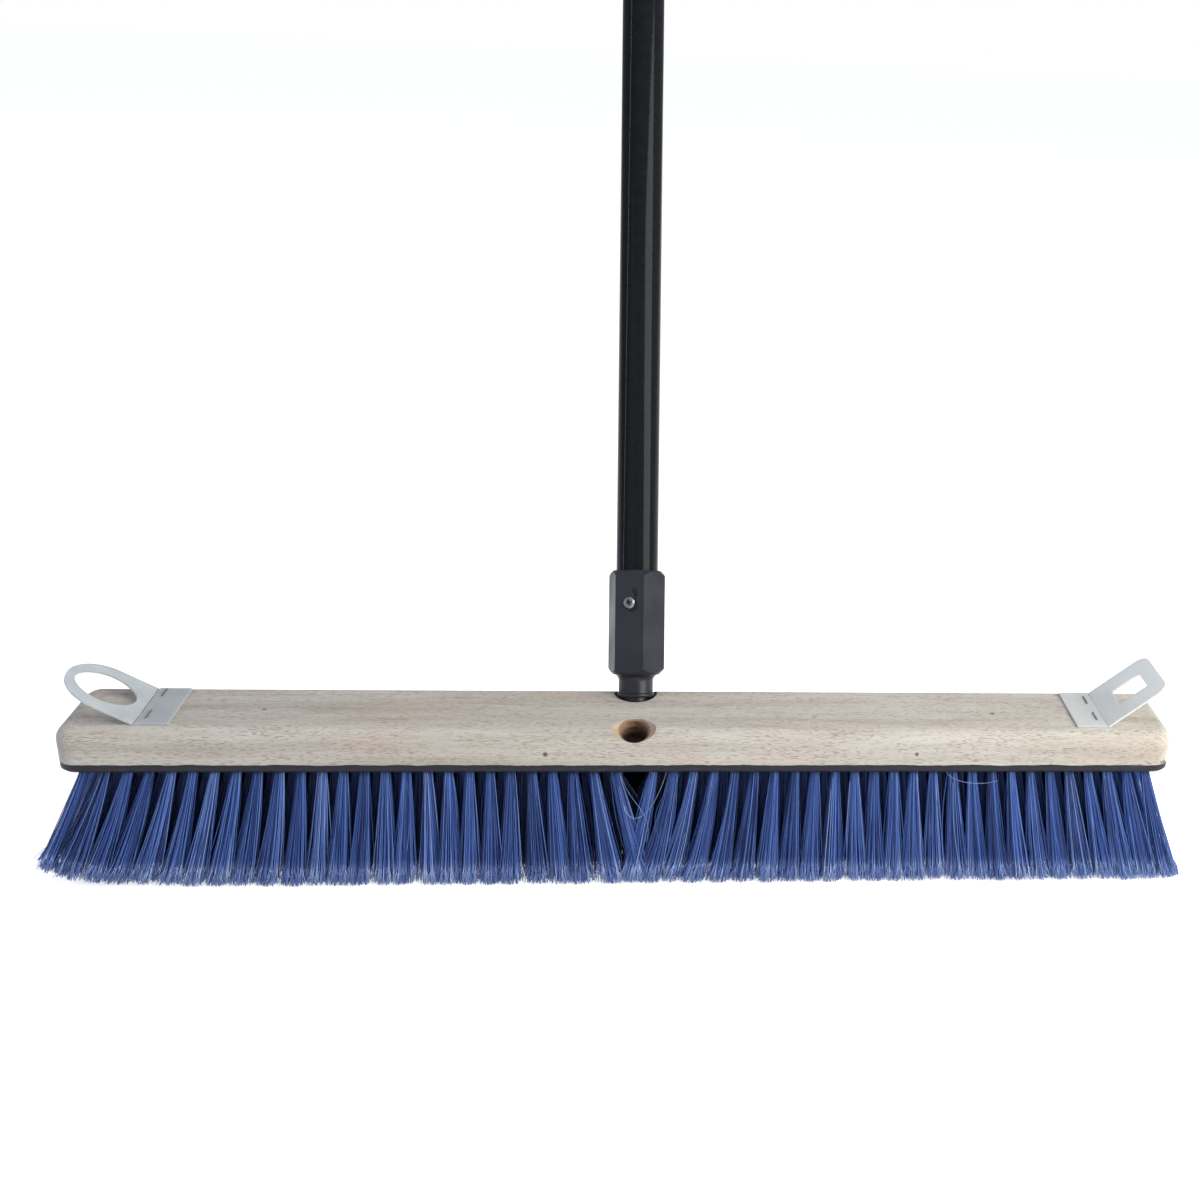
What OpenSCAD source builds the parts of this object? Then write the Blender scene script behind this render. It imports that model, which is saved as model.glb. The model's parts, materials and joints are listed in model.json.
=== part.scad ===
/* [Block] */
// Length of the wooden block
block_l = 609.6; // [500:0.1:760]
// Width of the block, front to back
block_w = 57; // [55:0.5:70]
// Thickness of the block
block_t = 25.4; // [24:0.1:32]
// Radius of the block's corners seen from above
corner_r = 10; // [9:0.5:14]
// Radius of the upper edges, all round the block
edge_r = 8; // [4:0.5:8.5]
// Chamfer round the underside
under_chamfer = 1.8; // [1:0.1:3]

/* [Bristles] */
// Free length of the bristles below the block
trim_l = 66.5; // [50:0.5:90]
// Spacing of the tufts along a row
tuft_pitch = 11.22; // [10:0.01:13]
// Spacing of the five rows
row_pitch = 11; // [10:0.1:11.5]
// Diameter of a tuft where it leaves the block
tuft_d = 5.2; // [4:0.1:6]
// Largest diameter of a tuft at its tip
tuft_tip_d = 10.6; // [8:0.1:12]
// Depth to which a tuft is seated
tuft_seat = 10; // [7:0.1:11]
// Bare length at each end of the block
bare_end = 12.5; // [12:0.5:20]
// Lean of the outermost tuft at the left end
left_lean = 25; // [5:1:28]
// Lean of the outermost tuft at the right end
right_lean = 17; // [5:1:28]
// Lean of the middle tufts towards the gap under the handle holes
gap_lean = 7; // [0:1:9]
// Lean of each row, front to back, more than the row inside it
row_lean = 4; // [2:0.5:6]
// Size of the flat wire that anchors a tuft, across it
anchor_l = 5; // [3.8:0.1:5]
// Height of the anchor wire
anchor_h = 1.8; // [1:0.1:2.5]
// Thickness of the anchor wire
anchor_t = 0.5; // [0.3:0.1:0.8]

/* [Handle holes] */
// Angle of the handle from upright
handle_tilt = 23; // [18:1:26]
// Distance of each handle hole from the block's centre line
hole_offset = 19; // [17:0.5:19.5]
// Distance of the front hole's mouth from the middle of the block
front_hole_offset = 21; // [19:0.5:21.5]
// Diameter of the countersunk mouth of each hole
mouth_d = 24.4; // [23:0.1:25]
// Depth of the countersink
mouth_depth = 4.6; // [3:0.1:6]
// Depth at which the thread in the front hole ends
front_thread_end = 19; // [17:0.5:20]

/* [Handle] */
// Whole length of the handle, ferrule tip to cap
handle_l = 1524; // [1200:1:1830]
// Outside diameter of the handle tube
tube_d = 23.8; // [19:0.1:24]
// Wall of the handle tube
tube_wall = 0.9; // [0.6:0.1:1.5]
// Height of the cap above the tube
cap_h = 9; // [6:0.5:20]
// Depth of the cap's plug in the tube
cap_plug_l = 22; // [10:1:40]

/* [Ferrule] */
// Width of the hexagonal collar across its flats
collar_af = 28.8; // [28.4:0.1:32]
// Length of the hexagonal collar
collar_l = 56; // [42:0.5:70]
// Bevel round the collar's upper rim
collar_bevel = 3.2; // [1:0.1:4]
// Height of the shoulder between collar and neck
shoulder_h = 7.2; // [6.5:0.1:10]
// Chamfer of the hexagon's corners at its lower end
collar_chamfer = 3.6; // [2:0.1:4]
// Diameter of the neck
neck_d = 19.5; // [18:0.1:20.8]
// Length of the neck
neck_l = 6.7; // [4:0.1:12]
// Diameter of the flange that sits in the mouth of the hole
flange_d = 21.6; // [20.6:0.1:22]
// Thickness of the flange
flange_h = 2.6; // [1:0.1:3]
// Major diameter of the handle thread
thread_major_d = 18.6; // [18:0.1:19]
// Minor diameter of the handle thread
thread_minor_d = 15.1; // [14.5:0.1:16]
// Pitch of the handle thread
thread_pitch = 5.08; // [4.5:0.01:5.5]
// Length of the threaded stub
stub_l = 24.4; // [18:0.1:25]
// Height of the ferrule screw above the collar's lower end
screw_rise = 37.5; // [15:0.5:38]
// Diameter of the ferrule screw's head
screw_head_d = 6.5; // [5:0.1:8]
// Diameter of the ferrule screw's shank
screw_d = 3.4; // [2.5:0.1:4]
// Length of the ferrule screw under its head
screw_l = 8; // [5:0.5:9]

/* [Hang tabs] */
// Width of each tab
tab_w = 42.5; // [38:0.5:43]
// Thickness of each tab
tab_t = 1.2; // [0.8:0.1:2]
// Length of the plate stapled to the block
plate_l = 18.5; // [14:0.5:24]
// Distance of the left crease from the block's end
left_crease_inset = 40; // [30:0.5:60]
// Distance of the right crease from the block's end
right_crease_inset = 37; // [30:0.5:60]
// Length of the left loop, from crease to tip
loop_l = 43; // [42:0.5:55]
// Length of the hole in the left loop
loop_hole_l = 33; // [30:0.5:34]
// Width of the hole in the left loop
loop_hole_w = 26.5; // [22:0.5:28]
// Width of the loop's rim at its tip
loop_rim = 4.8; // [3:0.1:6]
// Angle at which the left loop stands up
loop_lift = 29; // [10:1:60]
// Length of the right strap, from crease to tip
strap_l = 40; // [37:0.5:50]
// Radius of the right strap's corners
strap_corner_r = 7; // [3:0.5:10]
// Length of the window in the right strap
window_l = 18.3; // [14:0.1:20]
// Width of the window in the right strap
window_w = 16; // [10:0.5:24]
// Distance of the window from the crease
window_start = 12; // [10.5:0.5:13]
// Angle at which the right strap stands up
strap_lift = 39; // [10:1:60]
// Height of the three ribs beside the window
rib_h = 0.3; // [0.2:0.1:0.6]
// Width of a staple's crown
staple_l = 9; // [6:0.5:12]
// Width of the staple wire
staple_wire_w = 0.8; // [0.6:0.1:1.2]
// Thickness of the staple wire
staple_wire_t = 0.55; // [0.4:0.05:0.8]
// Length of a staple's legs
staple_leg_l = 10; // [8:0.5:14]
// Distance of the staples from the crease
staple_inset = 5.4; // [4:0.1:8]

/* [Hidden] */
$fn = 96;

wood = [0.74, 0.70, 0.64];
blue = [0.20, 0.32, 0.66];
black_plastic = [0.16, 0.16, 0.18];
gloss_black = [0.05, 0.05, 0.06];
clear_plastic = [0.84, 0.88, 0.92];
steel = [0.68, 0.69, 0.71];

fit = 0.05;          // clearance of pieces that are fixed in each other
running = 0.3;       // clearance of pieces that turn or slide in each other
over = 1;            // overshoot of a cutting shape past a surface

block_bottom = trim_l;
block_top = block_bottom + block_t;

// Tufts. A row is -2 at the front to 2 at the back, and every other row is
// set half a pitch along. Tufts are left out where the handle holes come through.
tuft_hole_r = tuft_d / 2 + fit;
straight_l = 1.5;
tufts_per_half = floor((block_l / 2 - bare_end) / tuft_pitch);
gap_half_w = [8, 12, 19, 12, 8];
lean_start = 60;
gap_reach = 75;
function is_offset(row) = abs(row) == 1;
function tuft_x(row, i) = (i - (is_offset(row) ? 0.5 : 0)) * tuft_pitch;
function tufts(row) = [for (i = [1 : tufts_per_half]) if (tuft_x(row, i) > gap_half_w[row + 2]) i];
function end_lean(side) = side < 0 ? left_lean : right_lean;
function end_share(x) = max(0, (x - lean_start) / (tufts_per_half * tuft_pitch - lean_start));
function gap_share(x) = max(0, 1 - x / gap_reach);
function lean(side, x) = end_lean(side) * pow(end_share(x), 1.8) - gap_lean * pow(gap_share(x), 1.3);
function tip_x(side, x) = x + trim_l * tan(lean(side, x));
function tip_gap(side, x) = min(
    tip_x(side, x + tuft_pitch) - tip_x(side, x),
    tip_x(side, x) - tip_x(side, x - tuft_pitch));
function tip_r(side, x) = min(
    tuft_tip_d / 2, 0.46 * tip_gap(side, x), 0.48 * row_pitch, tip_x(side, x) - running);
function tuft_l(side, row, x) = trim_l / cos(lean(side, x)) / cos(row_lean * row);
hole_depth = tuft_seat + anchor_h;

// Handle, measured along its axis from the point where it meets the block's top.
// The tube's seated end is drawn in by seat_step.
ferrule_seat = -1.6;
neck_start = ferrule_seat + flange_h;
flange_mid = ferrule_seat + flange_h / 2;
flange_mid_r = (flange_d - flange_h) / 2;
shoulder_start = neck_start + neck_l;
collar_start = shoulder_start + shoulder_h;
collar_end = collar_start + collar_l;
collar_corner_r = collar_af / 2 / cos(30);
shoulder_run = collar_corner_r - collar_chamfer - neck_d / 2;
shoulder_rise = shoulder_h - collar_chamfer;
shoulder_r = 1.04 * (shoulder_run * shoulder_run + shoulder_rise * shoulder_rise) / 2 / shoulder_run;
collar_turn = -15.6;
tip_s = ferrule_seat - stub_l;
socket_s = collar_start + 2;
tube_r = tube_d / 2;
tube_end = tip_s + handle_l - cap_h;
seat_step = 0.3;
socket_r = tube_r - seat_step + fit;
thread_r = thread_major_d / 2;
core_r = thread_minor_d / 2;
bore_r = core_r + 0.2;
relief_r = thread_r - 0.1;
groove_r = thread_r + running;
tooth_root_w = 0.62 * thread_pitch;
tooth_crest_w = 0.28 * thread_pitch;
tooth_count = floor((stub_l - 3) / thread_pitch);
through_l = (block_t + edge_r) / cos(handle_tilt) + thread_r;
screw_head_h = 1.5;
recess_w = 0.9;
recess_l = 3.6;
screw_s = collar_start + screw_rise;

// Hang tabs
left_crease_x = block_l / 2 - left_crease_inset;
right_crease_x = block_l / 2 - right_crease_inset;
crease_r = tab_t / 2;
groove_w = 2.2 * crease_r;
groove_foot = 0.25 * crease_r;
left_staple_y = [-10.7, 15.5];
right_staple_y = [-9.7, 11];
loop_end_r = tab_w / 2;
loop_hole_mid = loop_l - loop_rim - loop_hole_l / 2;
rib_w = 0.6;
rib_step = 1;

// ---- helpers ----

// Moves children from the handle's own axis to its place, leaning back
module at_back_hole() {
    translate([0, hole_offset, block_top]) rotate([-handle_tilt, 0, 0]) children();
}

// Moves children to the axis of the front hole, leaning forward
module at_front_hole() {
    translate([0, -front_hole_offset, block_top]) rotate([handle_tilt, 0, 0]) children();
}

// Moves children to one tuft, whose axis then points down
module at_tuft(side, row, x) {
    translate([side * x, row * row_pitch, block_bottom])
        rotate([row_lean * row, -side * lean(side, x), 0])
            mirror([0, 0, 1]) children();
}

// Moves children to a crease, with X pointing out along the tab
module at_crease(side, x, lift = 0) {
    mirror([side < 0 ? 1 : 0, 0, 0])
        translate([x, 0, block_top + crease_r])
            rotate([0, -lift, 0]) children();
}

// Rectangle with its two upper corners rounded and its lower two bevelled
module edge_profile(w, h, r, bevel) {
    translate([-w / 2 + r, h - r]) circle(r);
    translate([w / 2 - r, h - r]) circle(r);
    polygon([
        [-w / 2, h - r], [-w / 2, bevel], [-w / 2 + bevel, 0],
        [w / 2 - bevel, 0], [w / 2, bevel], [w / 2, h - r]]);
    translate([-w / 2 + r, h - r]) square([w - 2 * r, r]);
}

module rounded_rectangle(l, w, r) {
    for (x = [-1, 1], y = [-1, 1])
        translate([x * (l / 2 - r), y * (w / 2 - r)]) circle(r);
    square([l - 2 * r, w], center = true);
    square([l, w - 2 * r], center = true);
}

// Oval of four arcs
module oval(l, w) {
    small = 0.4 * w;
    reach = l / 2 - small;
    big = (reach * reach + w * w / 4 - small * small) / (w - 2 * small);
    rise = big - w / 2;
    touch = big * reach / sqrt(reach * reach + rise * rise);
    for (x = [-1, 1]) translate([x * reach, 0]) circle(small);
    intersection() {
        translate([0, rise]) circle(big);
        translate([0, -rise]) circle(big);
        square([2 * touch, w], center = true);
    }
}

// ---- block ----

// Half of the block's profile at a corner, from the corner's own axis outwards
module corner_profile() {
    polygon([
        [0, 0], [corner_r - under_chamfer, 0], [corner_r, under_chamfer],
        [corner_r, block_t - edge_r], [corner_r - edge_r, block_t - edge_r],
        [corner_r - edge_r, block_t], [0, block_t]]);
    translate([corner_r - edge_r, block_t - edge_r]) intersection() {
        circle(edge_r);
        square(edge_r);
    }
}

module block_body() {
    corner_x = block_l / 2 - corner_r;
    corner_y = block_w / 2 - corner_r;
    translate([0, 0, block_bottom]) {
        translate([-corner_x, 0, 0]) rotate([90, 0, 90]) linear_extrude(2 * corner_x)
            edge_profile(block_w, block_t, edge_r, under_chamfer);
        translate([0, corner_y, 0]) rotate([90, 0, 0]) linear_extrude(2 * corner_y)
            edge_profile(block_l, block_t, edge_r, under_chamfer);
        for (x = [-corner_x, corner_x], y = [-corner_y, corner_y])
            translate([x, y, 0]) rotate_extrude() corner_profile();
    }
}

module hole_mouth(r) {
    translate([0, 0, -mouth_depth]) cylinder(h = mouth_depth, r1 = r, r2 = mouth_d / 2);
    cylinder(h = mouth_d, r = mouth_d / 2);
}

module back_hole() {
    at_back_hole() {
        translate([0, 0, -through_l]) cylinder(h = through_l, r = groove_r);
        hole_mouth(groove_r);
    }
}

// The front hole keeps its thread, drawn as rings
module front_hole() {
    at_front_hole() {
        translate([0, 0, -front_thread_end]) cylinder(h = front_thread_end, r = bore_r);
        translate([0, 0, -through_l]) cylinder(h = through_l - front_thread_end, r = relief_r);
        hole_mouth(bore_r);
        for (k = [0 : floor((front_thread_end - mouth_depth - tooth_root_w) / thread_pitch)])
            translate([0, 0, -mouth_depth - 1 - tooth_root_w / 2 - k * thread_pitch]) ring_tooth(bore_r, groove_r);
    }
}

// One ring of thread between two radii
module ring_tooth(root, crest) {
    rotate_extrude() polygon([
        [0, -tooth_root_w / 2], [root, -tooth_root_w / 2], [crest, -tooth_crest_w / 2],
        [crest, tooth_crest_w / 2], [root, tooth_root_w / 2], [0, tooth_root_w / 2]]);
}

module tuft_holes() {
    for (row = [-2 : 2], side = [-1, 1], i = tufts(row))
        at_tuft(side, row, tuft_x(row, i))
            translate([0, 0, -hole_depth]) cylinder(h = hole_depth + 3, r = tuft_hole_r);
}

module wood_block() {
    color(wood) difference() {
        block_body();
        back_hole();
        front_hole();
        tuft_holes();
        for (y = left_staple_y) at_crease(-1, left_crease_x) staple_slots(y);
        for (y = right_staple_y) at_crease(1, right_crease_x) staple_slots(y);
    }
}

// ---- bristles ----

module tuft(side, row, x) {
    at_tuft(side, row, x) {
        translate([0, 0, -tuft_seat]) cylinder(h = tuft_seat + straight_l, r = tuft_d / 2);
        translate([0, 0, straight_l])
            cylinder(h = tuft_l(side, row, x) + 3, r1 = tuft_d / 2, r2 = tip_r(side, x));
    }
}

// All the tufts of half a row, trimmed level
module tuft_row(row, side) {
    color(blue) difference() {
        for (i = tufts(row)) tuft(side, row, tuft_x(row, i));
        translate([-block_l, -block_l, -trim_l]) cube([2 * block_l, 2 * block_l, trim_l]);
    }
}

// The flat wires across the holes that hold a row's tufts
module anchor_row(row) {
    color(steel) for (side = [-1, 1], i = tufts(row))
        at_tuft(side, row, tuft_x(row, i))
            translate([-anchor_l / 2, -anchor_t / 2, -hole_depth]) cube([anchor_l, anchor_t, anchor_h]);
}

// ---- handle ----

// Outline of the ferrule above its thread, as a shape to turn
module ferrule_profile() {
    difference() {
        polygon([
            [0, ferrule_seat - over], [core_r, ferrule_seat - over], [core_r, ferrule_seat],
            [flange_mid_r, ferrule_seat], [flange_mid_r, flange_mid],
            [neck_d / 2, flange_mid], [neck_d / 2, shoulder_start],
            [collar_corner_r - collar_chamfer, shoulder_start],
            [collar_corner_r - collar_chamfer, collar_start - collar_chamfer],
            [collar_corner_r, collar_start], [collar_corner_r, collar_end - collar_bevel],
            [collar_corner_r - collar_bevel, collar_end], [0, collar_end]]);
        translate([neck_d / 2 + shoulder_r, shoulder_start]) circle(shoulder_r);
    }
    translate([flange_mid_r, flange_mid]) circle(flange_h / 2);
}

module collar_prism() {
    rotate([0, 0, -90 + collar_turn - 30]) translate([0, 0, shoulder_start - over])
        cylinder(h = collar_l + shoulder_h + 2 * over, r = collar_corner_r, $fn = 6);
}

module threaded_stub() {
    translate([0, 0, tip_s + 1.5]) cylinder(h = stub_l - 1.5, r = core_r);
    translate([0, 0, tip_s]) cylinder(h = 1.5, r1 = core_r - 1.5, r2 = core_r);
    for (k = [0 : tooth_count - 1])
        translate([0, 0, ferrule_seat - 2.6 - tooth_root_w / 2 - k * thread_pitch + 0.5])
            ring_tooth(core_r, thread_r);
}

module threaded_ferrule() {
    color(black_plastic) at_back_hole() difference() {
        union() {
            intersection() {
                rotate_extrude() ferrule_profile();
                union() {
                    collar_prism();
                    translate([0, 0, ferrule_seat - over])
                        cylinder(h = shoulder_start - ferrule_seat + over, r = flange_d);
                }
            }
            threaded_stub();
        }
        translate([0, 0, socket_s]) cylinder(h = collar_l + over, r = socket_r);
        at_screw() cylinder(h = collar_af, r = screw_d / 2 + fit);
    }
}

// Moves children to the ferrule screw, whose axis then points out of the collar
module at_screw() {
    translate([0, 0, screw_s]) rotate([0, 0, -90 + collar_turn]) rotate([0, 90, 0]) children();
}

module ferrule_screw() {
    color(steel) at_back_hole() at_screw() translate([0, 0, collar_af / 2]) difference() {
        union() {
            translate([0, 0, -screw_l]) cylinder(h = screw_l, r = screw_d / 2);
            cylinder(h = screw_head_h - 0.6, r = screw_head_d / 2);
            translate([0, 0, screw_head_h - 0.6])
                cylinder(h = 0.6, r1 = screw_head_d / 2, r2 = screw_head_d / 2 - 0.9);
        }
        for (turn = [20, 110]) rotate([0, 0, turn])
            translate([-recess_l / 2, -recess_w / 2, 0.5]) cube([recess_l, recess_w, screw_head_h]);
    }
}

module handle_tube() {
    color(gloss_black) at_back_hole() difference() {
        union() {
            translate([0, 0, socket_s]) cylinder(h = tube_end - socket_s, r = tube_r - seat_step);
            translate([0, 0, collar_end]) cylinder(h = tube_end - collar_end, r = tube_r);
        }
        translate([0, 0, socket_s - over])
            cylinder(h = tube_end - socket_s + 2 * over, r = tube_r - tube_wall);
        at_screw() cylinder(h = collar_af, r = screw_d / 2 + fit);
    }
}

module handle_cap() {
    round_r = cap_h / 2;
    color(black_plastic) at_back_hole() {
        translate([0, 0, tube_end - cap_plug_l]) cylinder(h = cap_plug_l, r = tube_r - tube_wall - fit);
        translate([0, 0, tube_end]) rotate_extrude() {
            translate([tube_r - round_r, cap_h - round_r]) intersection() {
                circle(round_r);
                square(round_r);
            }
            square([tube_r, cap_h - round_r]);
            square([tube_r - round_r, cap_h]);
        }
    }
}

// ---- hang tabs ----

module staple_legs(y, gap) {
    for (end = [-1, 1])
        translate([
            -staple_inset - staple_wire_w / 2 - gap,
            y + end * (staple_l - staple_wire_t) / 2 - staple_wire_t / 2 - gap,
            crease_r - staple_leg_l - gap])
            cube([staple_wire_w + 2 * gap, staple_wire_t + 2 * gap, staple_leg_l + 2 * gap]);
}

module staple_slots(y) {
    staple_legs(y, fit);
}

module staples(side, crease_x, places) {
    color(steel) at_crease(side, crease_x) for (y = places) {
        staple_legs(y, 0);
        translate([-staple_inset - staple_wire_w / 2, y - staple_l / 2, crease_r])
            cube([staple_wire_w, staple_l, staple_wire_t]);
    }
}

// Plate with a groove along its end, into which the flap folds back
module tab_plate(side, crease_x, places) {
    color(clear_plastic) at_crease(side, crease_x) difference() {
        rotate([90, 0, 0]) linear_extrude(tab_w, center = true) polygon([
            [-plate_l, -crease_r], [-crease_r - fit, -crease_r], [-crease_r - fit, -groove_foot],
            [-groove_w, crease_r], [-plate_l, crease_r]]);
        for (y = places) staple_slots(y);
    }
}

// Rounded root of a flap, about which it folds
module flap_root() {
    rotate([90, 0, 0]) cylinder(h = tab_w, r = crease_r, center = true);
}

module left_tab_loop() {
    color(clear_plastic) at_crease(-1, left_crease_x, loop_lift) {
        flap_root();
        translate([0, 0, -crease_r]) linear_extrude(tab_t) difference() {
            union() {
                translate([0, -tab_w / 2]) square([loop_l - loop_end_r, tab_w]);
                translate([loop_l - loop_end_r, 0]) circle(loop_end_r);
            }
            translate([-loop_l, -tab_w]) square([loop_l, 2 * tab_w]);
            translate([loop_hole_mid, 0]) oval(loop_hole_l, loop_hole_w);
        }
    }
}

module right_tab_strap() {
    color(clear_plastic) at_crease(1, right_crease_x, strap_lift) {
        flap_root();
        translate([0, 0, -crease_r]) linear_extrude(tab_t) difference() {
            union() {
                translate([0, -tab_w / 2]) square([strap_l - strap_corner_r, tab_w]);
                translate([strap_l / 2, 0]) rounded_rectangle(strap_l, tab_w, strap_corner_r);
            }
            translate([window_start, -window_w / 2]) square([window_l, window_w]);
        }
        for (k = [1 : 3])
            translate([window_start - k * rib_step, -window_w / 2, crease_r])
                cube([rib_w, window_w, rib_h]);
    }
}

wood_block();
tuft_row(-2, -1);  // front_row_left
tuft_row(-2, 1);  // front_row_right
tuft_row(-1, -1);  // second_row_left
tuft_row(-1, 1);  // second_row_right
tuft_row(0, -1);  // middle_row_left
tuft_row(0, 1);  // middle_row_right
tuft_row(1, -1);  // fourth_row_left
tuft_row(1, 1);  // fourth_row_right
tuft_row(2, -1);  // back_row_left
tuft_row(2, 1);  // back_row_right
anchor_row(-2);  // front_row_anchors
anchor_row(-1);  // second_row_anchors
anchor_row(0);  // middle_row_anchors
anchor_row(1);  // fourth_row_anchors
anchor_row(2);  // back_row_anchors
threaded_ferrule();
ferrule_screw();
handle_tube();
handle_cap();
tab_plate(-1, left_crease_x, left_staple_y);  // left_tab_plate
left_tab_loop();
staples(-1, left_crease_x, left_staple_y);  // left_tab_staples
tab_plate(1, right_crease_x, right_staple_y);  // right_tab_plate
right_tab_strap();
staples(1, right_crease_x, right_staple_y);  // right_tab_staples
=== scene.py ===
"""Looks of the push broom: loose fibres in place of the plain tufts, a material for every part,
and a white studio. Lengths are in metres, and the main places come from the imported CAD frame."""

import json
import math

import bpy
import numpy as np
from mathutils import Euler, Matrix, Vector


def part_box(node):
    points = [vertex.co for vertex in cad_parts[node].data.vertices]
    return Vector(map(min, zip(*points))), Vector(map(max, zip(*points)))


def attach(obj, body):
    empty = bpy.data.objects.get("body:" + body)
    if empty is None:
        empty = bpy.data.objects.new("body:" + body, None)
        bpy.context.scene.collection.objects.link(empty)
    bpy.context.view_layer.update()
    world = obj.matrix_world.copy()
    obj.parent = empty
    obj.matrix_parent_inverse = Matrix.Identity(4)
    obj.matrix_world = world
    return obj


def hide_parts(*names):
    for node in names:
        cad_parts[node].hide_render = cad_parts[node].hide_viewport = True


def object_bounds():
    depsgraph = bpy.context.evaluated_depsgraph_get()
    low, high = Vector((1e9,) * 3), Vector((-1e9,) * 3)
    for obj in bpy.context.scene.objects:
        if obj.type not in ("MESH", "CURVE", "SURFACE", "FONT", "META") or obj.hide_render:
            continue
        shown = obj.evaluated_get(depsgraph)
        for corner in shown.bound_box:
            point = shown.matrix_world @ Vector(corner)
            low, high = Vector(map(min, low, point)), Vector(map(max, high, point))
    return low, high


MM = 0.001
SEED = 24

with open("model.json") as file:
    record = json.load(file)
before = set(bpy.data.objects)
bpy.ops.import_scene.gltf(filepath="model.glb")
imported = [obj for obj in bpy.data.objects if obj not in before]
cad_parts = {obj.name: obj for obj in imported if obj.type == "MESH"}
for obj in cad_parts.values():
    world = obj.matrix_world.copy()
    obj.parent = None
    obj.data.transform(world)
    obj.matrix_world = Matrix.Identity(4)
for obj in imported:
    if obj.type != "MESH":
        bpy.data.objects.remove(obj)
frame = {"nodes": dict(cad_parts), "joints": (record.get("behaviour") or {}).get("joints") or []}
cad_low, cad_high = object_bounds()
nodes = frame["nodes"]
joints = {joint["name"]: joint for joint in frame["joints"]}

FRONT_HOLE_Y = -21 * MM  # where the empty hole's axis meets the block's top
BLOCK_ROUND = 8 * MM     # radius of the block's rounded edges
END_GRAIN = 3.2 * MM     # it shows within this distance of the block's ends
RAW_R = 12.5 * MM        # the cut wood this near to the axes of the two holes is raw
PAINT_HEIGHT = 5.5 * MM  # of the black paint on the block's sides
RECESS_TOP = 4.35 * MM   # just below the screw head's face, from the middle of the screw

block_low, block_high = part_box("wood_block")
block_bottom, block_top = block_low.z, block_high.z
handle_axis = Vector(joints["handle_turn"]["axis"])
handle_origin = Vector(joints["handle_turn"]["pos_m"])
front_hole_axis = Vector((0, -handle_axis.y, handle_axis.z))
front_hole_origin = Vector((0, FRONT_HOLE_Y, block_top))


# ---- camera ----

def make_camera():
    """Above the front edge, a little to the right of the middle and turned to the right."""
    place = (0.013, -0.718, 0.4573)
    turn_right, look_down, roll = math.radians(6.12), math.radians(22.418), math.radians(2.99)
    data = bpy.data.cameras.new("camera")
    data.sensor_width = 36
    data.lens = 42.56
    data.shift_x = -0.1667
    data.clip_start, data.clip_end = 0.01, 50
    camera = bpy.data.objects.new("camera", data)
    bpy.context.collection.objects.link(camera)
    upright = Euler((math.pi / 2 - look_down, 0, -turn_right)).to_matrix()
    turned = upright @ Matrix.Rotation(roll, 3, "Z")
    camera.matrix_world = Matrix.Translation(place) @ turned.to_4x4()
    bpy.context.scene.camera = camera


# ---- materials ----

class Graph:
    """A material whose node tree is built by small calls. An input takes a value or another
    node's output."""

    def __init__(self, name):
        self.material = bpy.data.materials.new(name)
        self.material.use_nodes = True
        self.tree = self.material.node_tree
        self.tree.nodes.clear()

    def node(self, kind, inputs=(), output=0, **settings):
        node = self.tree.nodes.new("ShaderNode" + kind)
        for key, value in settings.items():
            setattr(node, key, value)
        for key, value in dict(inputs).items():
            if isinstance(value, bpy.types.NodeSocket):
                self.tree.links.new(value, node.inputs[key])
            else:
                node.inputs[key].default_value = value
        return node.outputs[output]

    def math(self, operation, a, b=0.0, clamp=False):
        return self.node("Math", {0: a, 1: b}, operation=operation, use_clamp=clamp)

    def vector(self, operation, a, b=(0, 0, 0), output=0):
        return self.node("VectorMath", {0: a, 1: b}, output, operation=operation)

    def scaled(self, vector, factor):
        return self.node("VectorMath", {0: vector, "Scale": factor}, operation="SCALE")

    def length(self, vector):
        return self.vector("LENGTH", vector, output="Value")

    def dot(self, a, b):
        return self.vector("DOT_PRODUCT", a, b, output="Value")

    def position(self):
        return self.node("TexCoord", output="Object")

    def xyz(self, vector):
        outputs = self.node("SeparateXYZ", {0: vector}).node.outputs
        return outputs[0], outputs[1], outputs[2]

    def noise(self, vector, scale=1.0, detail=2.0, roughness=0.5, output=0):
        return self.node(
            "TexNoise",
            {"Vector": vector, "Scale": scale, "Detail": detail, "Roughness": roughness},
            output,
        )

    def stretched_noise(self, place, periods, detail=2.0, roughness=0.5):
        """Noise with a period in metres of its own along each axis."""
        squeezed = self.vector("MULTIPLY", place, [1 / period for period in periods])
        return self.noise(squeezed, 1.0, detail, roughness)

    def step(self, value, start, end, low=0.0, high=1.0):
        """Goes smoothly from low, where value is start, to high, where it is end."""
        return self.node(
            "MapRange",
            {"Value": value, "From Min": start, "From Max": end, "To Min": low, "To Max": high},
            interpolation_type="SMOOTHSTEP",
        )

    def ramp(self, value, *stops):
        """stops are (position, colour), where a colour is as seen on a screen, 0 to 255."""
        socket = self.node("ValToRGB", {"Fac": value})
        elements = socket.node.color_ramp.elements
        while len(elements) < len(stops):
            elements.new(0.5)
        for element, (place, shade) in zip(elements, stops):
            element.position = place
            element.color = screen(*shade)
        return socket

    def mix(self, share, a, b):
        return self.node("Mix", {0: share, 6: a, 7: b}, 2, data_type="RGBA", clamp_factor=True)

    def bump(self, height, distance, strength=1.0, below=None):
        inputs = {"Height": height, "Distance": distance, "Strength": strength}
        if below is not None:
            inputs["Normal"] = below
        return self.node("Bump", inputs)

    def finish(self, **inputs):
        """Closes the tree with a Principled shader."""
        names = {key.replace("_", " "): value for key, value in inputs.items()}
        return self.close(self.node("BsdfPrincipled", names))

    def close(self, shader):
        output = self.tree.nodes.new("ShaderNodeOutputMaterial")
        self.tree.links.new(shader, output.inputs["Surface"])
        return self.material


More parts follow.
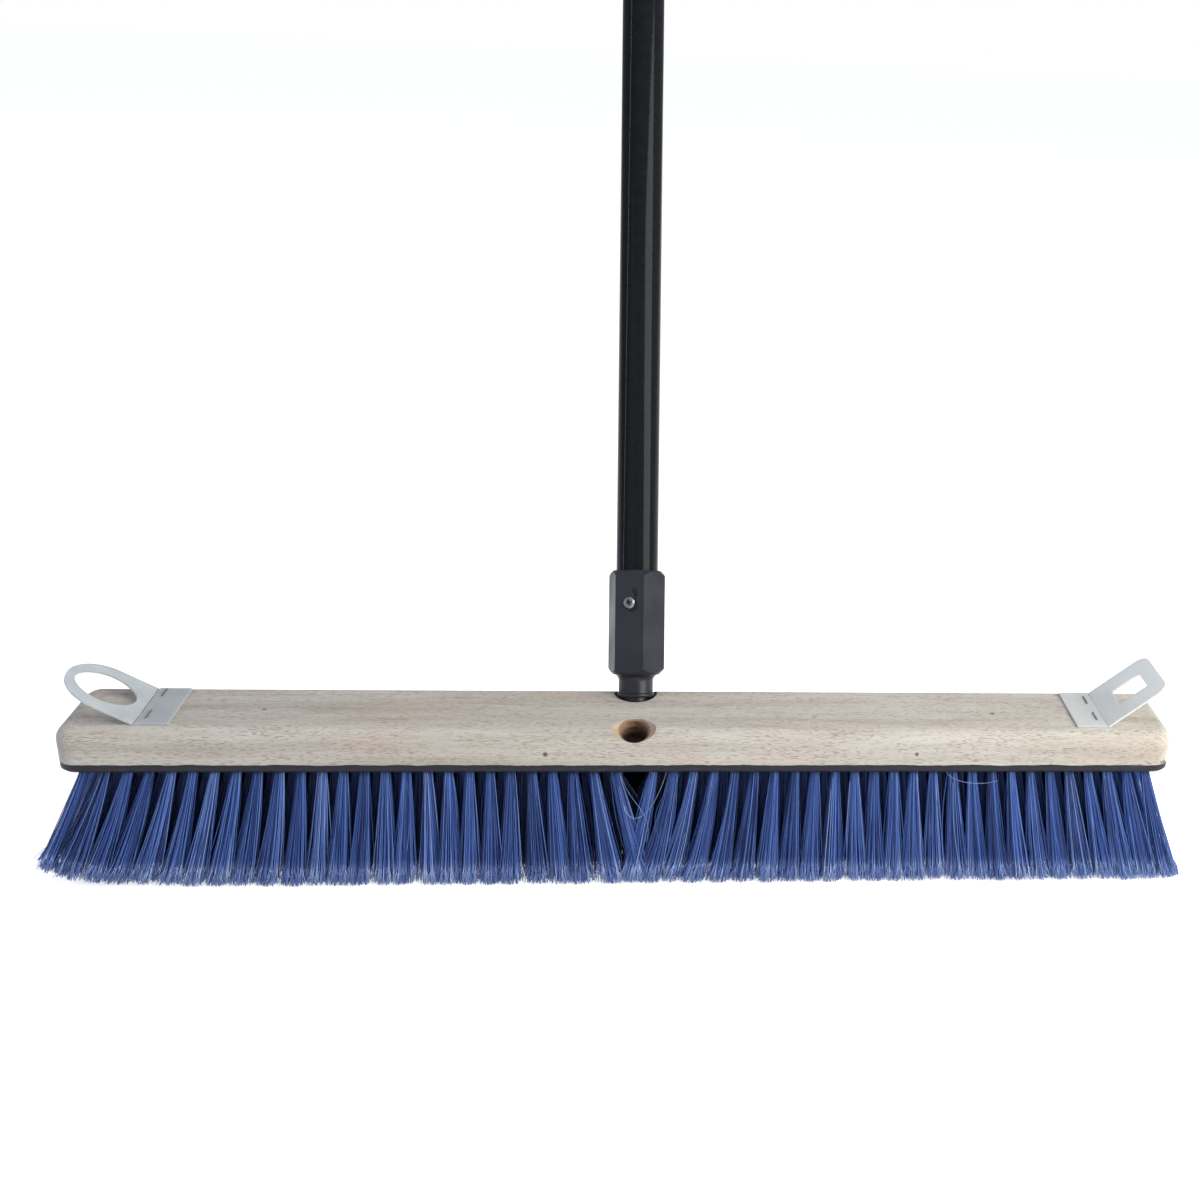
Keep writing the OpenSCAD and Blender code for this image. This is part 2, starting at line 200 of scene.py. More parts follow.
def screen(r, g, b):
    """A colour as seen on a screen, 0 to 255, in the renderer's linear values."""
    def linear(v):
        v /= 255
        return v / 12.92 if v <= 0.04045 else ((v + 0.055) / 1.055) ** 2.4
    return (linear(r), linear(g), linear(b), 1)


def grey(value):
    """A linear grey."""
    return (value, value, value, 1)


def centre_of(node):
    low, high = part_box(node)
    return (low + high) / 2


def from_axis(g, place, origin, axis):
    """Distance from an axis, and the place along it."""
    offset = g.vector("SUBTRACT", place, origin)
    along = g.dot(offset, axis)
    return g.length(g.vector("SUBTRACT", offset, g.scaled(axis, along))), along


def below_skin(g, y, z):
    """Depth below the block's outer skin on its top, sides and rounded edges."""
    flat_y, flat_z = block_high.y - BLOCK_ROUND, block_top - BLOCK_ROUND
    over_y = g.math("MAXIMUM", g.math("SUBTRACT", g.math("ABSOLUTE", y), flat_y), 0.0)
    over_z = g.math("MAXIMUM", g.math("SUBTRACT", z, flat_z), 0.0)
    squares = g.math("ADD", g.math("MULTIPLY", over_y, over_y), g.math("MULTIPLY", over_z, over_z))
    return g.math("SUBTRACT", BLOCK_ROUND, g.math("SQRT", squares))


def wood_material():
    """Pale unfinished hardwood with short pore dashes along X. The underside and the lower edge
    are painted black."""
    g = Graph("wood")
    place = g.position()
    x, y, z = g.xyz(place)
    drift = g.vector("MULTIPLY", g.noise(place, 9, 1, output=1), (0, 0.010, 0.010))
    wavy = g.vector("ADD", place, drift)
    bands = g.stretched_noise(wavy, (0.22, 0.011, 0.011), 3, 0.55)
    tone = g.ramp(
        bands, (0.30, (178, 171, 162)), (0.47, (197, 191, 183)),
        (0.62, (205, 200, 193)), (0.75, (189, 181, 171)),
    )
    blush = g.stretched_noise(place, (0.09, 0.022, 0.022), 2)
    tone = g.mix(g.step(blush, 0.52, 0.72, 0, 0.35), tone, screen(205, 184, 172))
    fibre = g.stretched_noise(wavy, (0.030, 0.0008, 0.0008), 3, 0.7)
    tone = g.mix(g.step(fibre, 0.42, 0.72, 0, 0.30), tone, screen(160, 142, 128))
    dashes = g.stretched_noise(wavy, (0.0038, 0.00036, 0.00036), 1, 0.4)
    crowding = g.stretched_noise(place, (0.04, 0.007, 0.007), 1)
    pores = g.step(g.math("ADD", dashes, g.math("MULTIPLY", crowding, 0.22)), 0.67, 0.77)
    tone = g.mix(g.math("MULTIPLY", pores, 0.54), tone, screen(128, 98, 82))

    # Sanded end grain on the rounded ends
    grain_from = block_high.x - END_GRAIN
    at_end = g.step(g.math("ABSOLUTE", x), grain_from - 0.6 * MM, grain_from, 0, 0.75)
    speckle_noise = g.noise(place, 1500, 2, 0.6)
    speckle = g.ramp(speckle_noise, (0.35, (184, 181, 176)), (0.65, (210, 207, 203)))
    tone = g.mix(at_end, tone, speckle)

    # A few small pin knots: centre, and size in millimetres
    for centre, size in (
        ((-0.2015, -0.002, block_top), 1.3),
        ((0.204, -0.004, block_top), 1.3),
        ((0.157, block_low.y, block_bottom + 0.0122), 1.2),
        ((-0.048, block_low.y, block_bottom + 0.012), 1.4),
        ((-0.110, block_high.y, block_top - 0.012), 1.6),
        ((0.090, block_high.y, block_top - 0.008), 1.4),
    ):
        away = g.vector("MULTIPLY", g.vector("SUBTRACT", place, centre), (0.8, 1, 0.7))
        knot = g.step(g.length(away), size * MM, 0.35 * size * MM)
        tone = g.mix(g.math("MULTIPLY", knot, 0.85), tone, screen(84, 60, 46))

    # Raw torn wood in the empty hole and round the ferrule; painted shade darkens it towards the
    # bores, deep in the holes and all round the ferrule
    cut = g.step(below_skin(g, y, z), 0.15 * MM, 0.45 * MM)
    torn = g.noise(place, 900, 3, 0.7)
    # each hole's axis, and the share of painted shade over the wood round its mouth
    holes = ((front_hole_origin, front_hole_axis, 0.0), (handle_origin, handle_axis, 0.55))
    for origin, axis, painted_shade_share in holes:
        off_axis, along = from_axis(g, place, origin, axis)
        raw_wood_and_shade = g.mix(g.step(x, -6 * MM, 7 * MM), screen(197, 181, 156), screen(208, 184, 170))
        raw_wood_and_shade = g.mix(g.step(torn, 0.48, 0.66, 0, 0.55), raw_wood_and_shade, screen(150, 120, 95))
        # painted shade: darker towards the bore, and all over round the ferrule
        raw_wood_and_shade = g.mix(g.step(off_axis, 9.2 * MM, 8.4 * MM, painted_shade_share, 1), raw_wood_and_shade, screen(158, 126, 102))
        # painted shade: near black deeper down the hole
        raw_wood_and_shade = g.mix(g.step(along, -7 * MM, -18 * MM, painted_shade_share, 0.85), raw_wood_and_shade, screen(70, 46, 32))
        inside = g.step(off_axis, RAW_R + 0.2 * MM, RAW_R - 0.2 * MM)
        tone = g.mix(g.math("MULTIPLY", inside, cut), tone, raw_wood_and_shade)

    # Black paint over the underside, with a wavy upper edge and a smudge near the right end
    edge = g.stretched_noise(place, (0.022, 0.03, 1.0), 3, 0.6)
    rise = g.math("MULTIPLY", g.math("SUBTRACT", edge, 0.5), 2.2 * MM)
    paint_top = block_bottom + PAINT_HEIGHT
    painted = g.step(g.math("SUBTRACT", z, rise), paint_top, paint_top - 0.3 * MM)
    smear = g.stretched_noise(place, (0.009, 0.003, 0.003), 3, 0.65)
    low_down = g.step(z, block_bottom + 9 * MM, block_bottom + 6 * MM)
    near_end = g.math("MULTIPLY", g.step(x, 0.262, 0.276), low_down)
    smudge = g.math("MULTIPLY", near_end, g.step(smear, 0.50, 0.62, 0, 0.8))
    cover = g.math("MAXIMUM", painted, smudge)
    scuffs = g.stretched_noise(place, (0.012, 0.0018, 0.0018), 3, 0.6)
    paint = g.mix(g.step(scuffs, 0.55, 0.75, 0, 0.5), screen(26, 27, 36), screen(56, 57, 70))

    grain = g.bump(g.math("SUBTRACT", g.math("MULTIPLY", fibre, 0.5), pores), 0.12 * MM, 0.5)
    splinters = g.noise(place, 1300, 4, 0.7)
    off_axis = from_axis(g, place, front_hole_origin, front_hole_axis)[0]
    ragged = g.math("MULTIPLY", cut, g.step(off_axis, RAW_R + 0.4 * MM, RAW_R))
    normal = g.bump(g.math("MULTIPLY", splinters, ragged), 1.0 * MM, 0.7, grain)
    return g.finish(
        Base_Color=g.mix(cover, tone, paint), Roughness=g.mix(cover, grey(0.72), grey(0.42)),
        Normal=normal, Specular_IOR_Level=0.3,
    )


def fibre_material():
    """Blue synthetic fibre. The shade differs from fibre to fibre, and the inner rows carry darker
    shades as painted shade. The split tips are frosted."""
    g = Graph("fibre")
    shade = g.node("Attribute", output="Fac", attribute_name="shade")
    along = g.node("Attribute", output="Fac", attribute_name="along")
    body = g.ramp(
        shade, (0.0, (28, 43, 88)), (0.45, (68, 100, 177)), (0.80, (104, 142, 222)),
        (0.93, (138, 168, 230)), (1.0, (184, 196, 228)),
    )
    frost = g.ramp(shade, (0.0, (78, 102, 164)), (0.5, (114, 141, 212)), (1.0, (186, 206, 242)))
    colour = g.mix(g.step(along, 0.78, 0.90), body, frost)
    return g.finish(Base_Color=colour, Roughness=0.38, Specular_IOR_Level=0.45)


def ferrule_material():
    """Satin moulded plastic with a dent where a tool slipped beside the screw. The dent and a
    sunken ring round the screw are painted near black as painted shade.
    """
    g = Graph("ferrule_plastic")
    place = g.position()
    fine = g.noise(place, 1600, 2, 0.5)
    broad = g.noise(place, 45, 2, 0.5)
    plastic = g.ramp(broad, (0.3, (31, 32, 42)), (0.7, (39, 40, 51)))
    ragged = g.math("MULTIPLY", g.noise(place, 700, 3, 0.6), 2.0 * MM)

    # The slip: the distance from a short line above and beside the screw
    screw = centre_of("ferrule_screw")
    start = screw + Vector((2.0, -1.0, 7.5)) * MM
    end = screw + Vector((4.9, -1.0, 0.5)) * MM
    run = end - start
    offset = g.vector("SUBTRACT", place, start)
    share = g.math("DIVIDE", g.dot(offset, run), run.length_squared, clamp=True)
    from_line = g.length(g.vector("SUBTRACT", offset, g.scaled(run, share)))
    slip = g.step(g.math("ADD", from_line, ragged), 2.8 * MM, 2.4 * MM)

    # A sunken ring round the screw, painted near black as painted shade
    beside = screw + Vector((0.6, 0, -0.3)) * MM
    from_screw = g.length(g.vector("MULTIPLY", g.vector("SUBTRACT", place, beside), (1, 0, 1)))
    ring = g.step(g.math("ADD", from_screw, ragged), 5.0 * MM, 4.6 * MM)

    dent_and_shade = g.math("MAXIMUM", slip, ring)
    height = g.math("SUBTRACT", g.math("MULTIPLY", fine, 0.12), dent_and_shade)
    # painted shade: the dent and the ring are painted near black
    return g.finish(
        Base_Color=g.mix(dent_and_shade, plastic, screen(11, 11, 14)), Specular_IOR_Level=0.4,
        Roughness=g.step(broad, 0.3, 0.7, 0.34, 0.46), Normal=g.bump(height, 0.5 * MM, 0.6),
    )


def tube_material():
    """Gloss black paint with the faint ripple of a rolled tube."""
    g = Graph("tube_paint")
    place = g.position()
    ripple = g.stretched_noise(place, (0.02, 0.02, 0.35), 2)
    dust = g.noise(place, 240, 3, 0.6)
    return g.finish(
        Base_Color=g.ramp(dust, (0.35, (23, 25, 28)), (0.75, (29, 31, 35))),
        Roughness=g.step(dust, 0.3, 0.8, 0.08, 0.14), Specular_IOR_Level=0.08,
        Normal=g.bump(ripple, 0.25 * MM, 0.3),
    )


def tab_material(name, cloudy, clear):
    """Milky translucent plastic, finely scratched."""
    g = Graph(name)
    place = g.position()
    scratches = g.stretched_noise(place, (0.0009, 0.02, 0.004), 2, 0.6)
    cloud = g.noise(place, 70, 2)
    return g.finish(
        Base_Color=g.ramp(cloud, (0.3, cloudy), (0.7, clear)),
        Roughness=g.step(scratches, 0.3, 0.7, 0.34, 0.52), IOR=1.42, Transmission_Weight=0.3,
        Subsurface_Weight=0.6, Subsurface_Radius=(1.0, 1.0, 1.0), Subsurface_Scale=3 * MM,
        Normal=g.bump(scratches, 0.05 * MM, 0.25),
    )


def steel_material(name, tint, recess=False):
    """Zinc-plated steel. The floor of the screw's recess is painted dark, as painted shade."""
    g = Graph(name)
    place = g.position()
    wear = g.noise(place, 900, 3, 0.6)
    dull = tuple(int(channel * 0.72) for channel in tint)
    colour = g.ramp(wear, (0.3, dull), (0.65, tint))
    # painted shade: the floor of the screw's recess is darkened
    if recess:
        outward = Vector((0, -handle_axis.z, handle_axis.y))
        off_axis, height = from_axis(g, place, centre_of("ferrule_screw"), outward)
        middle = g.step(off_axis, 2.0 * MM, 1.7 * MM)
        sunken = g.step(height, RECESS_TOP, RECESS_TOP - 0.3 * MM)
        colour = g.mix(g.math("MULTIPLY", middle, sunken), colour, screen(62, 64, 72))
    return g.finish(
        Base_Color=colour, Metallic=1.0, Roughness=g.step(wear, 0.3, 0.7, 0.25, 0.45),
        Normal=g.bump(wear, 0.05 * MM, 0.3),
    )


def dress(material, *names):
    """Gives CAD nodes a material."""
    for name in names:
        for slot in nodes[name].material_slots:
            slot.link = "OBJECT"
            slot.material = material


# ---- bristles ----

CLASSES = 64                      # shades of fibre, each with a column of the fibre map
FIBRE_R = 0.26 * MM
HAIR_R = (0.18, 0.12)             # of a split hair in millimetres, at its root and at its tip
STRAY_R = 0.14 * MM
OUTER_FIBRES, INNER_FIBRES = 92, 80
SPLITS = 3                        # fine hairs that leave a fibre near its tip
ROOT_DEPTH = 1.5 * MM             # how far inside its hole a fibre begins
SEAT_HEIGHT = 4 * MM              # of the part of a CAD tuft that is taken as its seat
WELD = 1e-6                       # points closer than this are one
BOX_MARGIN = 0.4 * MM             # kept free between the fibres and the CAD model's box
LOWEST = 0.25 * MM                # least height of a split hair's end
GAP_SIDE = 11 * MM                # from the middle to the tufts beside the middle gap
# inner tufts nearer to the middle than NEAR_GAP are painted near black, as painted shade
NEAR_GAP = 28 * MM                # inner tufts nearer to the middle show through the gap
GOLDEN_ANGLE, TURN = 2.39996, 6.28        # radians
LAZY_SHARE, PALE_SHARE = 0.025, 0.004     # of the fibres: much bowed ones, thin pale ones
STRAY_SHADES = (1.0, 0.9, 0.5, 0.95)


def weld(points):
    """The distinct points, and for each point the number of its distinct one."""
    keys = np.round(points / WELD).astype(np.int64)
    _, first, same = np.unique(keys, axis=0, return_index=True, return_inverse=True)
    return points[first], same.ravel()


def tufts_of(node):
    """(seat, tip, seat radius, tip radius) of each solid of a CAD row, from the middle outwards."""
    mesh = nodes[node].data
    points = np.empty(len(mesh.vertices) * 3)
    mesh.vertices.foreach_get("co", points)
    edges = np.empty(len(mesh.edges) * 2, np.int64)
    mesh.edges.foreach_get("vertices", edges)
    points, same = weld(points.reshape(-1, 3))
    a, b = same[edges].reshape(-1, 2).T
    island = np.arange(len(points))
    while True:
        low = np.minimum(island[a], island[b])
        before = island.copy()
        np.minimum.at(island, a, low)
        np.minimum.at(island, b, low)
        island = island[island]
        if (island == before).all():
            break
    tufts = []
    for number in np.unique(island):
        solid = points[island == number]
        floor = solid[solid[:, 2] < WELD]
        tip = floor.mean(0)
        height = solid[:, 2] - tip[2]
        seat_ring = solid[height > height.max() - SEAT_HEIGHT]
        seat = seat_ring.mean(0)
        seat_r = np.linalg.norm(seat_ring - seat, axis=1).max()
        tip_r = np.linalg.norm(floor - tip, axis=1).mean()
        tufts.append((seat, tip, seat_r, tip_r))
    return sorted(tufts, key=lambda tuft: abs(tuft[0][0]))


def trim_rise(x):
    """How far above the floor the fibres end: the outermost ones are held short by their lean."""
    left, right = x - cad_low.x, cad_high.x - x
    lean = 11 * np.exp(-left / 0.030) + 6 * np.exp(-left / 0.006) + 2 * np.exp(-right / 0.010)
    ripple = 0.15 * np.sin(x * 41 + 1.0) + 0.12 * np.sin(x * 97 + 2.0) + 0.3
    return (lean + ripple) * MM


def gap_pull(x, front):
    """How much further a tuft near the middle gap leans towards it, at its tip."""
    if front and x > 0:
        return -9.5 * MM * np.exp(-((x - 35 * MM) / (45 * MM)) ** 2)
    reach, fade = (8, 20) if front else (15 if x < 0 else 7, 15)
    return -np.sign(x) * reach * MM * np.exp(-(abs(x) - GAP_SIDE) / (fade * MM))


def keep_inside(points, margin):
    """Clips points, in place, to the CAD model's width and to the bristles' depth."""
    points[..., 0] = np.clip(points[..., 0], cad_low.x + margin, cad_high.x - margin)
    points[..., 1] = np.clip(points[..., 1], cad_low.y + margin, -cad_low.y - margin)


def fibre_paths(tuft, count, outer, front, rng, steps=7):
    """Paths of a tuft's fibres from inside its hole to their tips, as (count, steps, 3)."""
    seat, tip, seat_r, tip_r = tuft
    middle_reach = abs(tip[0])
    root = tip + (seat - tip) * (block_bottom + ROOT_DEPTH - tip[2]) / (seat[2] - tip[2])

    # The fibres fill a disc evenly, at the root and, fanned out, at the tip
    turn = np.arange(count) * GOLDEN_ANGLE + rng.uniform(0, TURN)
    reach = np.sqrt((np.arange(count) + 0.5) / count)
    disc = np.stack([np.cos(turn) * reach, np.sin(turn) * reach, np.zeros(count)], 1)
    starts = root + disc * (seat_r - FIBRE_R) * 0.93
    fan = 1 if front else 1 + np.exp(-(middle_reach - GAP_SIDE) / (7 * MM))
    fan += 0.25 * np.clip((middle_reach - 0.27) / 0.03, 0, 1)
    wide, deep = (1.36, 1.2) if outer else (1.5, 1.45)
    spread = tip_r * np.array([wide * fan, deep, 0]) * (1 + 0.08 * rng.normal(size=(count, 1)))
    ends = tip + disc * spread + rng.normal(size=(count, 3)) * np.array([0.8, 0.6, 0]) * MM
    ends += rng.normal(size=3) * np.array([1.0, 0.5, 0]) * MM
    ends[:, 0] += gap_pull(tip[0], front)
    ends[:, 0] += 0.45 * np.maximum(cad_low.x + 10 * MM - ends[:, 0], 0)

    # They are trimmed a little unevenly, tuft by tuft and fibre by fibre
    uneven = abs(rng.normal()) * 0.25 + np.abs(rng.normal(size=count)) * 0.2
    rise = trim_rise(ends[:, 0]) + uneven * MM
    ends = starts + (ends - starts) * (1 - rise / starts[:, 2])[:, None]
    margin = FIBRE_R + BOX_MARGIN
    keep_inside(ends, margin)

    # The way down: more upright at first where curve is above 0, some bow, and a few lazy ones
    t = np.linspace(0, 1, steps)[None, :, None]
    curve = 0.15 + 0.35 * np.exp(-((tip[0] - 0.048) / 0.035) ** 2)
    if not outer and middle_reach < NEAR_GAP:
        curve = -0.75
    lateral = (1 - curve) * t + curve * t**2
    paths = starts[:, None] + (ends - starts)[:, None] * np.concatenate([lateral, lateral, t], 2)
    bow = rng.normal(size=(count, 1, 3)) * np.array([0.32, 0.3, 0]) * MM
    bow[rng.random(count) < LAZY_SHARE] *= 5
    kink = rng.normal(size=(count, 1, 3)) * np.array([0.2, 0.2, 0]) * MM
    paths += bow * np.sin(np.pi * t) + kink * np.sin(2 * np.pi * t) * t
    keep_inside(paths, margin)
    return paths


def split_paths(paths, rng, steps=3):
    """A fine hair for each fibre, which leaves it over its last sixth."""
    count = len(paths)
    last, tips = paths[:, -2], paths[:, -1]
    low = last + (tips - last) * rng.uniform(0, 0.45, (count, 1))
    way = tips - low
    length = np.linalg.norm(way, axis=1, keepdims=True)
    aside = rng.normal(size=(count, 3)) * np.array([1.4, 0.9, 0.3]) * MM
    ends = low + way * rng.uniform(0.85, 1.0, (count, 1)) + aside
    ends[:, 2] = np.maximum(ends[:, 2], LOWEST)
    t = np.linspace(0, 1, steps)[None, :, None]
    curl = rng.normal(size=(count, 1, 3)) * 0.10 * length[:, None]
    hairs = low[:, None] + (ends - low)[:, None] * t + curl * np.sin(np.pi * t) * t
    keep_inside(hairs, BOX_MARGIN)
    return hairs


def stray_paths(steps=24):
    """Loose fibres that hook across the middle gap or stick out of the front row. Each follows
    six points, (x, z) in millimetres, and goes from y_start to y_end."""
    lines = np.array([
        [(18, 66), (14, 54), (8, 42), (2, 39.5), (-3, 41), (-5, 48)],
        [(-7, 66), (-4, 56), (1, 47), (6, 41), (8, 33), (7, 25)],
        [(26, 66), (21, 58), (15, 49), (12, 40), (13, 30), (17, 22)],
        [(175, 66), (180, 62), (186, 60.5), (192, 60.5), (198, 61.5), (204, 64)],
    ]) * MM
    y_start, y_end, degree = -25, -32, 4
    fit = np.polynomial.chebyshev.Chebyshev.fit
    at = np.linspace(0, lines.shape[1] - 1, steps)
    paths = np.empty((len(lines), steps, 3))
    for path, line in zip(paths, lines):
        for axis, column in ((0, 0), (2, 1)):
            path[:, axis] = fit(np.arange(len(line)), line[:, column], degree)(at)
        path[:, 1] = np.linspace(y_start, y_end, steps) * MM
    return paths


def tubes(name, groups, sides=3):
    """One mesh of closed tapering tubes. groups holds (paths, radii, shades, along), where along
    is each point's place between root and tip. A tube's faces lie in its shade's column of the
    fibre map."""
    points, faces, caps, shade, place, corners, cap_corners = [], [], [], [], [], [], []
    total = 0
    angles = np.arange(sides) * 2 * np.pi / sides
    inset, width = 0.1, 0.8  # of a tube's faces in their column of the map
    for paths, radii, shades, along in groups:
        count, steps = paths.shape[:2]
        along = np.broadcast_to(along, (count, steps))
        ahead = np.gradient(paths, axis=1)
        ahead /= np.linalg.norm(ahead, axis=2, keepdims=True)
        across = np.cross(ahead, (0.96, 0.28, 0.0))
        across /= np.linalg.norm(across, axis=2, keepdims=True)
        other = np.cross(ahead, across)
        ring = (
            across[:, :, None] * np.cos(angles)[None, None, :, None]
            + other[:, :, None] * np.sin(angles)[None, None, :, None]
        )
        points.append((paths[:, :, None] + ring * radii[:, :, None, None]).reshape(-1, 3))
        index = total + np.arange(count * steps * sides).reshape(count, steps, sides)
        total += index.size
        a, b = index[:, :-1], index[:, 1:]
        quad = np.stack([a, b, np.roll(b, -1, 2), np.roll(a, -1, 2)], 3)
        faces.append(quad.reshape(-1, 4))
        caps.append(np.concatenate([index[:, 0], index[:, -1, ::-1]]))
        shade.append(np.repeat(shades, steps * sides))
        place.append(np.repeat(along.reshape(-1), sides))

        column = np.floor(shades * (CLASSES - 1) + 0.5)[:, None, None]
        side = np.arange(sides)[None, None, :]
        left = (column + inset + width * side / sides) / CLASSES
        right = (column + inset + width * (side + 1) / sides) / CLASSES
        v = along[:, :, None]
        left, right, v0, v1 = (
            np.broadcast_to(value, (count, steps - 1, sides))
            for value in (left, right, v[:, :-1], v[:, 1:])
        )
        corners.append(np.stack([left, v0, left, v1, right, v1, right, v0], 3).reshape(-1, 2))
        ends = np.concatenate([along[:, 0], along[:, -1]])
        middle = np.tile((column[:, 0, 0] + 0.5) / CLASSES, 2)
        nudge = np.array([[-0.3, -0.004], [0.3, -0.004], [0, 0.004]]) * [1 / CLASSES, 1]
        cap_corners.append((np.stack([middle, ends], 1)[:, None] + nudge).reshape(-1, 2))

    points, faces, caps = np.concatenate(points), np.concatenate(faces), np.concatenate(caps)
    mesh = bpy.data.meshes.new(name)
    mesh.vertices.add(len(points))
    mesh.vertices.foreach_set("co", points.ravel().astype(np.float32))
    loops = np.concatenate([faces.ravel(), caps.ravel()])
    sizes = np.concatenate([np.full(len(faces), 4), np.full(len(caps), sides)])
    mesh.loops.add(len(loops))
    mesh.loops.foreach_set("vertex_index", loops.astype(np.int32))
    mesh.polygons.add(len(sizes))
    mesh.polygons.foreach_set("loop_start", (np.cumsum(sizes) - sizes).astype(np.int32))
    mesh.polygons.foreach_set("use_smooth", np.ones(len(sizes), bool))
    for label, values in (("shade", shade), ("along", place)):
        data = mesh.attributes.new(label, "FLOAT", "POINT").data
        data.foreach_set("value", np.concatenate(values).astype(np.float32))
    fibre_map = mesh.uv_layers.new(name="OFBake")
    uv = np.concatenate(corners + cap_corners)
    uv[:, 1] = 0.02 + 0.96 * uv[:, 1]  # clear of the map's upper and lower edges
    fibre_map.data.foreach_set("uv", uv.ravel().astype(np.float32))
    mesh.update()
    mesh.validate()
    piece = bpy.data.objects.new(name, mesh)
    bpy.context.collection.objects.link(piece)
    return piece


def to_class(shades):
    """The nearest of the shades that have a column in the fibre map."""
    return np.round(shades * (CLASSES - 1)) / (CLASSES - 1)


def bristle_row(node, material, rng):
    """Loose fibres in place of one CAD row of tufts."""
    front = node.startswith("front")
    outer = front or node.startswith("back")
    count = OUTER_FIBRES if outer else INNER_FIBRES
    groups = []
    for tuft in tufts_of(node):
        paths = fibre_paths(tuft, count, outer, front, rng)
        shades = np.clip(rng.beta(1.6, 1.6, count) + rng.normal() * 0.05, 0, 0.95)
        # painted shade: the inner rows' fibres are darkened, to near black beside the middle gap
        if not outer:
            reach = abs(tuft[0][0])
            shades *= 0.1 if reach < NEAR_GAP else np.interp(reach, [0.265, 0.285], [0.45, 0.9])
        pale = rng.random(count) < PALE_SHARE
        shades[pale] = 1.0
        shades = to_class(shades)
        along = np.linspace(0, 1, paths.shape[1])
        taper = np.interp(along, [0, 0.8, 1], [1, 1, 1.2])
        radii = FIBRE_R * taper * rng.uniform(0.8, 1.1, (count, 1))
        radii[pale] *= 0.5
        groups.append((paths, radii, shades, along))
        for _ in range(SPLITS):
            hairs = split_paths(paths, rng)
            steps = hairs.shape[1]
            radii = np.broadcast_to(np.linspace(*HAIR_R, steps) * MM, hairs.shape[:2])
            paler = to_class(np.clip(shades + (0.15 if outer else 0.3), 0, 1))
            groups.append((hairs, radii, paler, np.linspace(0.88, 1, steps)))
    if node == "front_row_right":
        strays = stray_paths()
        radii = np.full(strays.shape[:2], STRAY_R)
        shades = to_class(np.array(STRAY_SHADES))
        groups.append((strays, radii, shades, np.linspace(0, 0.7, strays.shape[1])))
    piece = tubes(node + "_fibres", groups)
    piece.data.materials.append(material)
    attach(piece, "block")
    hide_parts(node)


# ---- studio ----

def floor_material():
    """Pale, with a glow that only rays from the camera, a gloss or a clear part see: the floor
    is white in the picture and keeps the object's shadow."""
    g = Graph("floor")
    surface = g.node("BsdfDiffuse", {"Color": grey(0.86)})
    path = g.node("LightPath").node.outputs
    through = g.math("MAXIMUM", path["Is Glossy Ray"], path["Is Transmission Ray"])
    seen = g.math("MAXIMUM", path["Is Camera Ray"], through)
    glow = g.node("Emission", {"Color": grey(1), "Strength": g.math("MULTIPLY", seen, 0.7)})
    return g.close(g.node("AddShader", {0: surface, 1: glow}))


def make_floor():
    bpy.ops.mesh.primitive_plane_add(size=30, location=(0, 0, -0.4 * MM))
    floor = bpy.context.object
    floor.name = "floor"
    floor.data.materials.append(floor_material())


def make_world():
    """Dim and bluish for the object, white where the camera or a clear part sees it."""
    world = bpy.data.worlds.new("world")
    bpy.context.scene.world = world
    world.use_nodes = True
    tree = world.node_tree
    tree.nodes.clear()
    path = tree.nodes.new("ShaderNodeLightPath")
    output = tree.nodes.new("ShaderNodeOutputWorld")
    ambient = tree.nodes.new("ShaderNodeBackground")
    ambient.inputs["Color"].default_value = (0.93, 0.96, 1.0, 1)
    ambient.inputs["Strength"].default_value = 0.36
    white = tree.nodes.new("ShaderNodeBackground")
    white.inputs["Color"].default_value = grey(1)
    white.inputs["Strength"].default_value = 1.0
    either = tree.nodes.new("ShaderNodeMath")
    either.operation = "MAXIMUM"
    mix = tree.nodes.new("ShaderNodeMixShader")
    tree.links.new(path.outputs["Is Camera Ray"], either.inputs[0])
    tree.links.new(path.outputs["Is Transmission Ray"], either.inputs[1])
    tree.links.new(either.outputs[0], mix.inputs[0])
    tree.links.new(ambient.outputs[0], mix.inputs[1])
    tree.links.new(white.outputs[0], mix.inputs[2])
    tree.links.new(mix.outputs[0], output.inputs["Surface"])


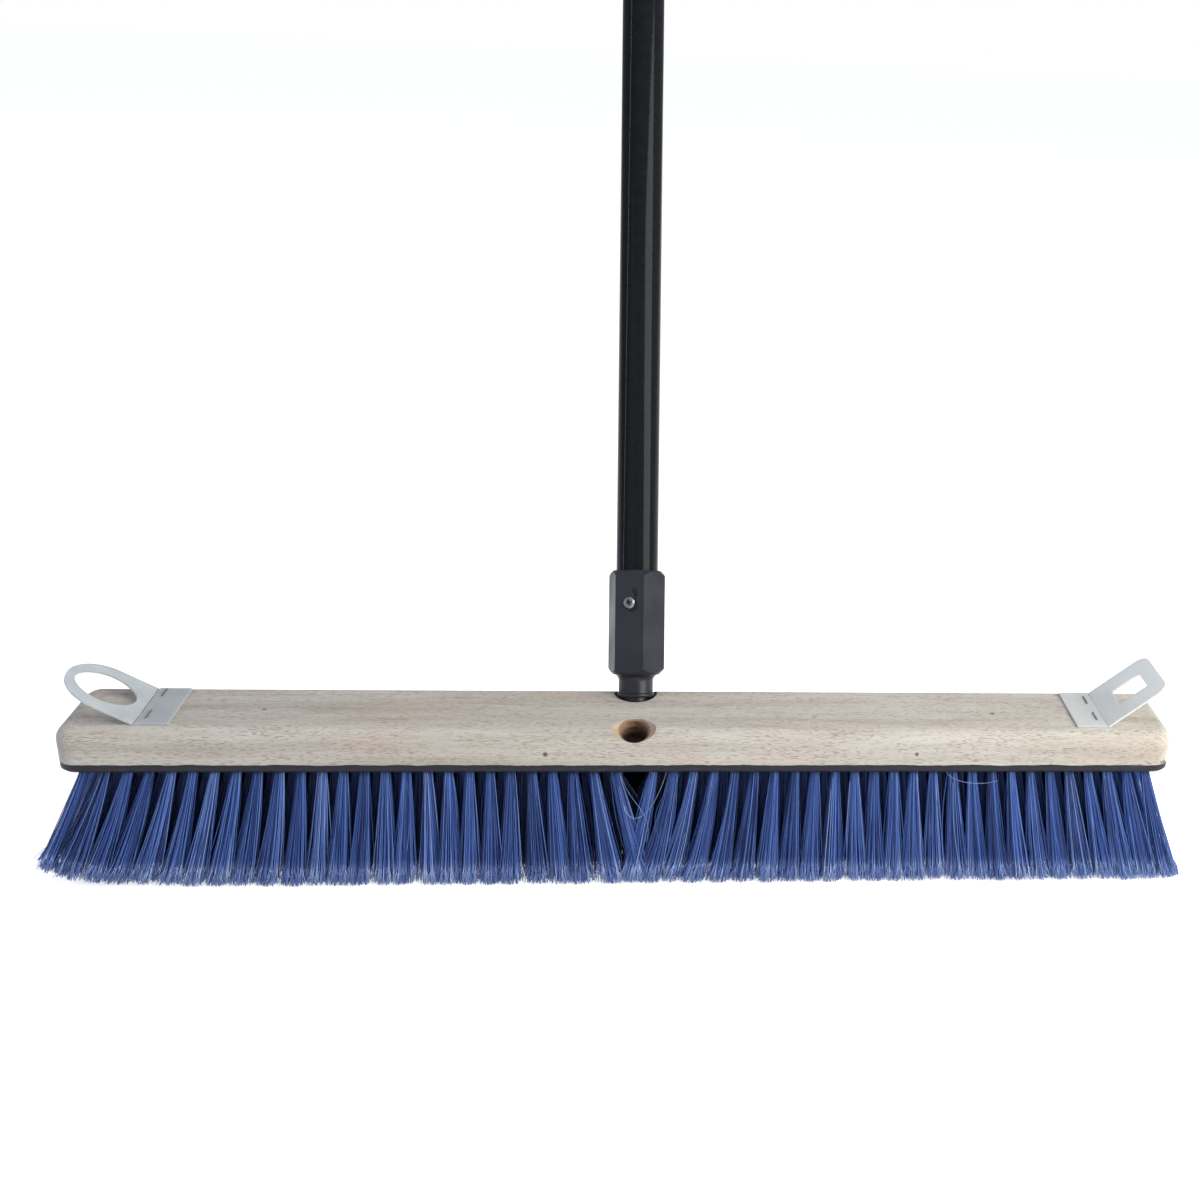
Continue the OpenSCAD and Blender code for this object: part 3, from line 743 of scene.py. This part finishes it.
def make_lamps():
    """Soft boxes to the right, the left and above, and a thin one for the line on the tube."""
    # name, place, aimed at, size, power, colour
    lamps = (
        ("key", (0.98, -0.60, 0.70), (0.1, 0, 0.08), (0.85, 0.95), 18.6, (1.0, 1.0, 0.93)),
        ("fill", (-1.5, -1.7, 0.9), (-0.1, 0, 0.1), (1.6, 1.6), 3.8, (0.90, 0.93, 1.0)),
        ("top", (0.1, 0.3, 2.6), (0, 0, 0.1), (1.6, 1.2), 6, (1.0, 1.0, 1.0)),
        ("edge", (-1.45, -0.1, 0.85), (0, 0.25, 0.5), (0.05, 1.6), 5.0, (0.62, 0.66, 1.0)),
    )
    for name, place, aim, size, power, colour in lamps:
        data = bpy.data.lights.new(name, "AREA")
        data.shape = "RECTANGLE"
        data.size, data.size_y = size
        data.energy = power
        data.color = colour
        lamp = bpy.data.objects.new(name, data)
        bpy.context.collection.objects.link(lamp)
        lamp.location = place
        lamp.rotation_euler = (Vector(aim) - Vector(place)).to_track_quat("-Z", "Y").to_euler()


# ---- scene ----

bpy.context.scene.view_settings.view_transform = "Standard"
make_camera()
make_floor()
make_world()
make_lamps()

dress(wood_material(), "wood_block")
dress(ferrule_material(), "threaded_ferrule", "handle_cap")
dress(tube_material(), "handle_tube")
# one plastic for both tabs: the left's darker tint is painted shade, the right's whiter tint
# painted light
shaded_tab_plastic = tab_material("painted_shade_tab", (204, 211, 217), (220, 226, 230))
lit_tab_plastic = tab_material("painted_light_tab", (240, 246, 247), (248, 251, 252))
dress(shaded_tab_plastic, "left_tab_plate", "left_tab_loop")
dress(lit_tab_plastic, "right_tab_plate", "right_tab_strap")
dress(steel_material("screw_steel", (150, 153, 162), recess=True), "ferrule_screw")
dress(
    steel_material("wire_steel", (202, 203, 208)), "left_tab_staples", "right_tab_staples",
    *(name for name in nodes if name.endswith("_anchors")),
)

rng = np.random.default_rng(SEED)
fibre = fibre_material()
for name in [n for n in nodes if n.endswith(("_row_left", "_row_right"))]:
    bristle_row(name, fibre, rng)
